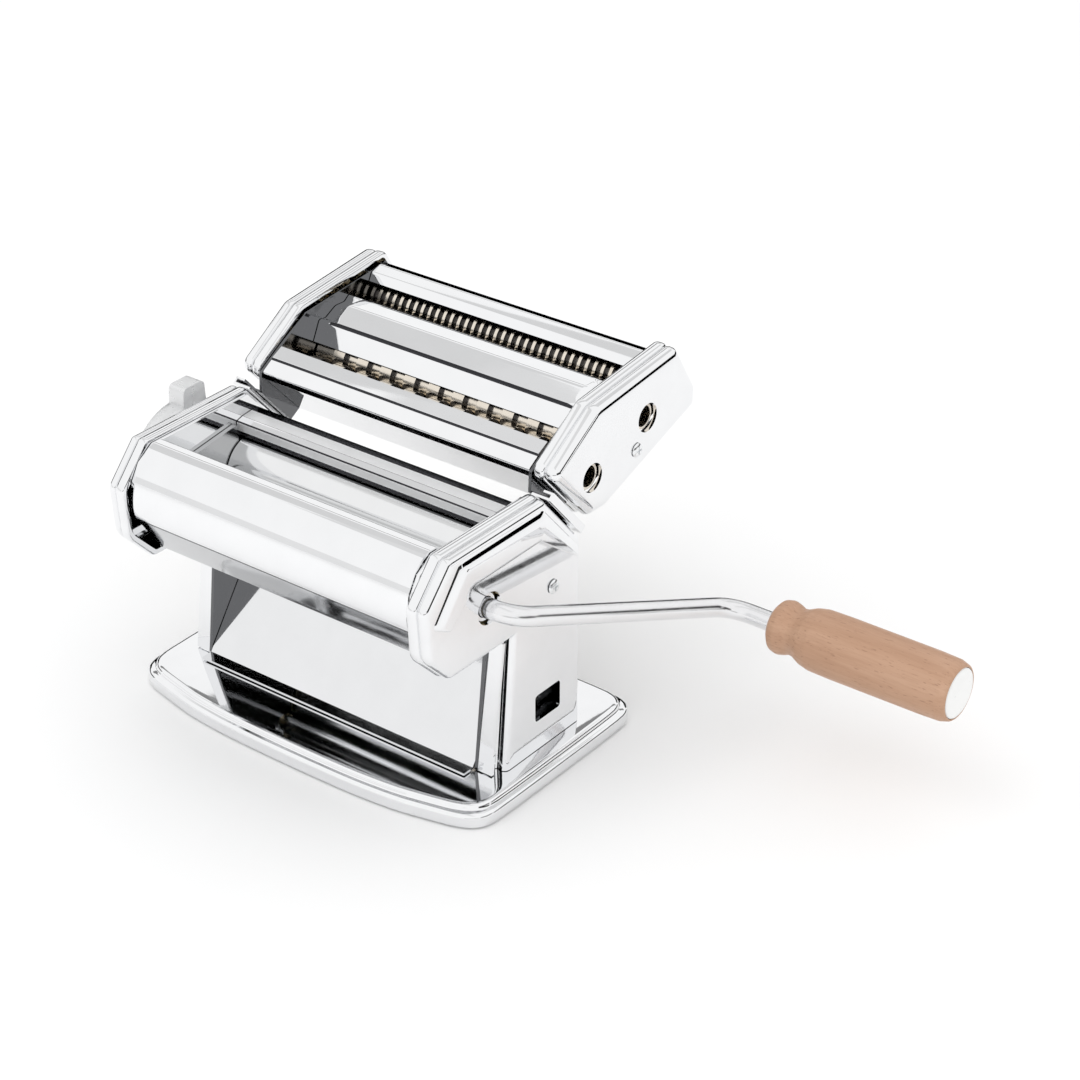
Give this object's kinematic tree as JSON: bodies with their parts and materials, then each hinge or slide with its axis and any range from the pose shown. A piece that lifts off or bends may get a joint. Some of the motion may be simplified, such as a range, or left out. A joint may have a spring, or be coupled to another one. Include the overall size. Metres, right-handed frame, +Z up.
{
  "type": "pasta roller machine",
  "caption": "Hand-cranked pasta roller machine in polished metal with smooth rollers, a thickness knob, a two-way noodle cutter head and a wooden crank grip.",
  "frame": {"origin": "middle of the base, on the underside of its closing plate, which is the surface that the machine stands on", "axes": "+Z up, +X towards the crank side, +Y towards the cutter head at the back, where the dough sheet comes out towards -Y"},
  "size_m": [0.3317, 0.179, 0.1563],
  "materials": {
    "polished_sheet": "mirror polished",
    "satin_steel": "satin",
    "guard_sheet": "bright",
    "gear_bronze": "machined",
    "turned_beech": "lacquered",
    "white_plastic": "gloss",
    "knob_plastic": "gloss",
    "foot_rubber": "matte"
  },
  "bodies": {
    "machine": {"base_pan": "polished_sheet", "base_underplate": "satin_steel", "rubber_foot_front_left": "foot_rubber", "rubber_foot_front_right": "foot_rubber", "rubber_foot_rear_left": "foot_rubber", "rubber_foot_rear_right": "foot_rubber", "side_frame_right": "satin_steel", "side_frame_left": "satin_steel", "dough_guard_right": "guard_sheet", "dough_guard_left": "guard_sheet", "side_cover_right": "polished_sheet", "side_cover_left": "polished_sheet", "cover_screw_right": "satin_steel", "cover_screw_left": "satin_steel", "drive_bush_right": "gear_bronze", "drive_bush_left": "gear_bronze", "front_cover": "polished_sheet", "rear_cover": "polished_sheet", "dough_guide": "polished_sheet", "tie_rod_front_upper": "satin_steel", "tie_rod_front_lower": "satin_steel", "tie_rod_rear_upper": "satin_steel", "tie_rod_rear_lower": "satin_steel", "front_scraper": "guard_sheet", "rear_scraper": "guard_sheet", "head_rail_right": "polished_sheet", "head_rail_left": "polished_sheet"},
    "drive_roller": {"drive_roller": "satin_steel", "drive_roller_gear": "gear_bronze"},
    "crank": {"crank_rod": "polished_sheet"},
    "crank_grip": {"crank_grip": "turned_beech", "grip_end_plug": "white_plastic"},
    "adjuster": {"adjuster_cam": "satin_steel"},
    "thickness_knob": {"thickness_knob": "knob_plastic"},
    "roller_carriage": {"rear_bearing_right": "gear_bronze", "rear_bearing_left": "gear_bronze", "bearing_tie_rod": "satin_steel"},
    "adjustable_roller": {"adjustable_roller": "satin_steel", "adjustable_roller_gear": "gear_bronze"},
    "cutter_head": {"cutter_frame_right": "satin_steel", "cutter_frame_left": "satin_steel", "cutter_cover_right": "polished_sheet", "cutter_cover_left": "polished_sheet", "cutter_screw_right": "satin_steel", "cutter_screw_left": "satin_steel", "cutter_front_cover": "polished_sheet", "cutter_centre_cover": "polished_sheet", "cutter_rear_cover": "polished_sheet", "wide_scraper_front": "guard_sheet", "wide_scraper_rear": "guard_sheet", "fine_scraper_front": "guard_sheet", "fine_scraper_rear": "guard_sheet"},
    "wide_front": {"wide_cutter_front": "satin_steel", "wide_gear_front": "gear_bronze"},
    "wide_rear": {"wide_cutter_rear": "satin_steel", "wide_gear_rear": "gear_bronze"},
    "fine_front": {"fine_cutter_front": "satin_steel", "fine_gear_front": "gear_bronze"},
    "fine_rear": {"fine_cutter_rear": "satin_steel", "fine_gear_rear": "gear_bronze"}
  },
  "joints": [
    {"name": "drive_roller_spin", "type": "hinge", "parent": "machine", "child": "drive_roller", "pos_m": [0, -0.0286, 0.0923], "axis": [1, 0, 0], "continuous": true},
    {"name": "crank_pull", "type": "slide", "parent": "drive_roller", "child": "crank", "axis": [1, 0, 0], "range_m": [0, 0.03]},
    {"name": "grip_spin", "type": "hinge", "parent": "crank", "child": "crank_grip", "pos_m": [0.19, 0.0794, 0.0563], "axis": [1, 0, 0], "continuous": true},
    {"name": "thickness_dial", "type": "hinge", "parent": "machine", "child": "adjuster", "pos_m": [-0.09, -0.0134, 0.0923], "axis": [1, 0, 0], "range_deg": [0, 225]},
    {"name": "knob_pull", "type": "slide", "parent": "adjuster", "child": "thickness_knob", "axis": [-1, 0, 0], "range_m": [0, 0.004], "stiffness_N_per_m": 400},
    {"name": "roller_gap", "type": "slide", "parent": "machine", "child": "roller_carriage", "axis": [0, 1, 0], "range_m": [-0.0022, 0]},
    {"name": "adjustable_roller_spin", "type": "hinge", "parent": "roller_carriage", "child": "adjustable_roller", "pos_m": [0, 0.0018, 0.0923], "axis": [1, 0, 0], "continuous": true},
    {"name": "cutter_head_lift", "type": "slide", "parent": "machine", "child": "cutter_head", "axis": [0, -0.6561, 0.7547], "range_m": [0, 0.035]},
    {"name": "wide_front_spin", "type": "hinge", "parent": "cutter_head", "child": "wide_front", "pos_m": [0, 0.0378, 0.1211], "axis": [1, 0, 0], "continuous": true},
    {"name": "wide_rear_spin", "type": "hinge", "parent": "cutter_head", "child": "wide_rear", "pos_m": [0, 0.0536, 0.12551], "axis": [1, 0, 0], "continuous": true},
    {"name": "fine_front_spin", "type": "hinge", "parent": "cutter_head", "child": "fine_front", "pos_m": [0, 0.0751, 0.1328], "axis": [1, 0, 0], "continuous": true},
    {"name": "fine_rear_spin", "type": "hinge", "parent": "cutter_head", "child": "fine_rear", "pos_m": [0, 0.0909, 0.13721], "axis": [1, 0, 0], "continuous": true}
  ],
  "couplings": [
    {"joint": "adjustable_roller_spin", "follows": "drive_roller_spin", "ratio": -1},
    {"joint": "thickness_dial", "follows": "roller_gap", "rad_per_m": -1784.9},
    {"joint": "wide_rear_spin", "follows": "wide_front_spin", "ratio": -1},
    {"joint": "fine_rear_spin", "follows": "fine_front_spin", "ratio": -1}
  ]
}
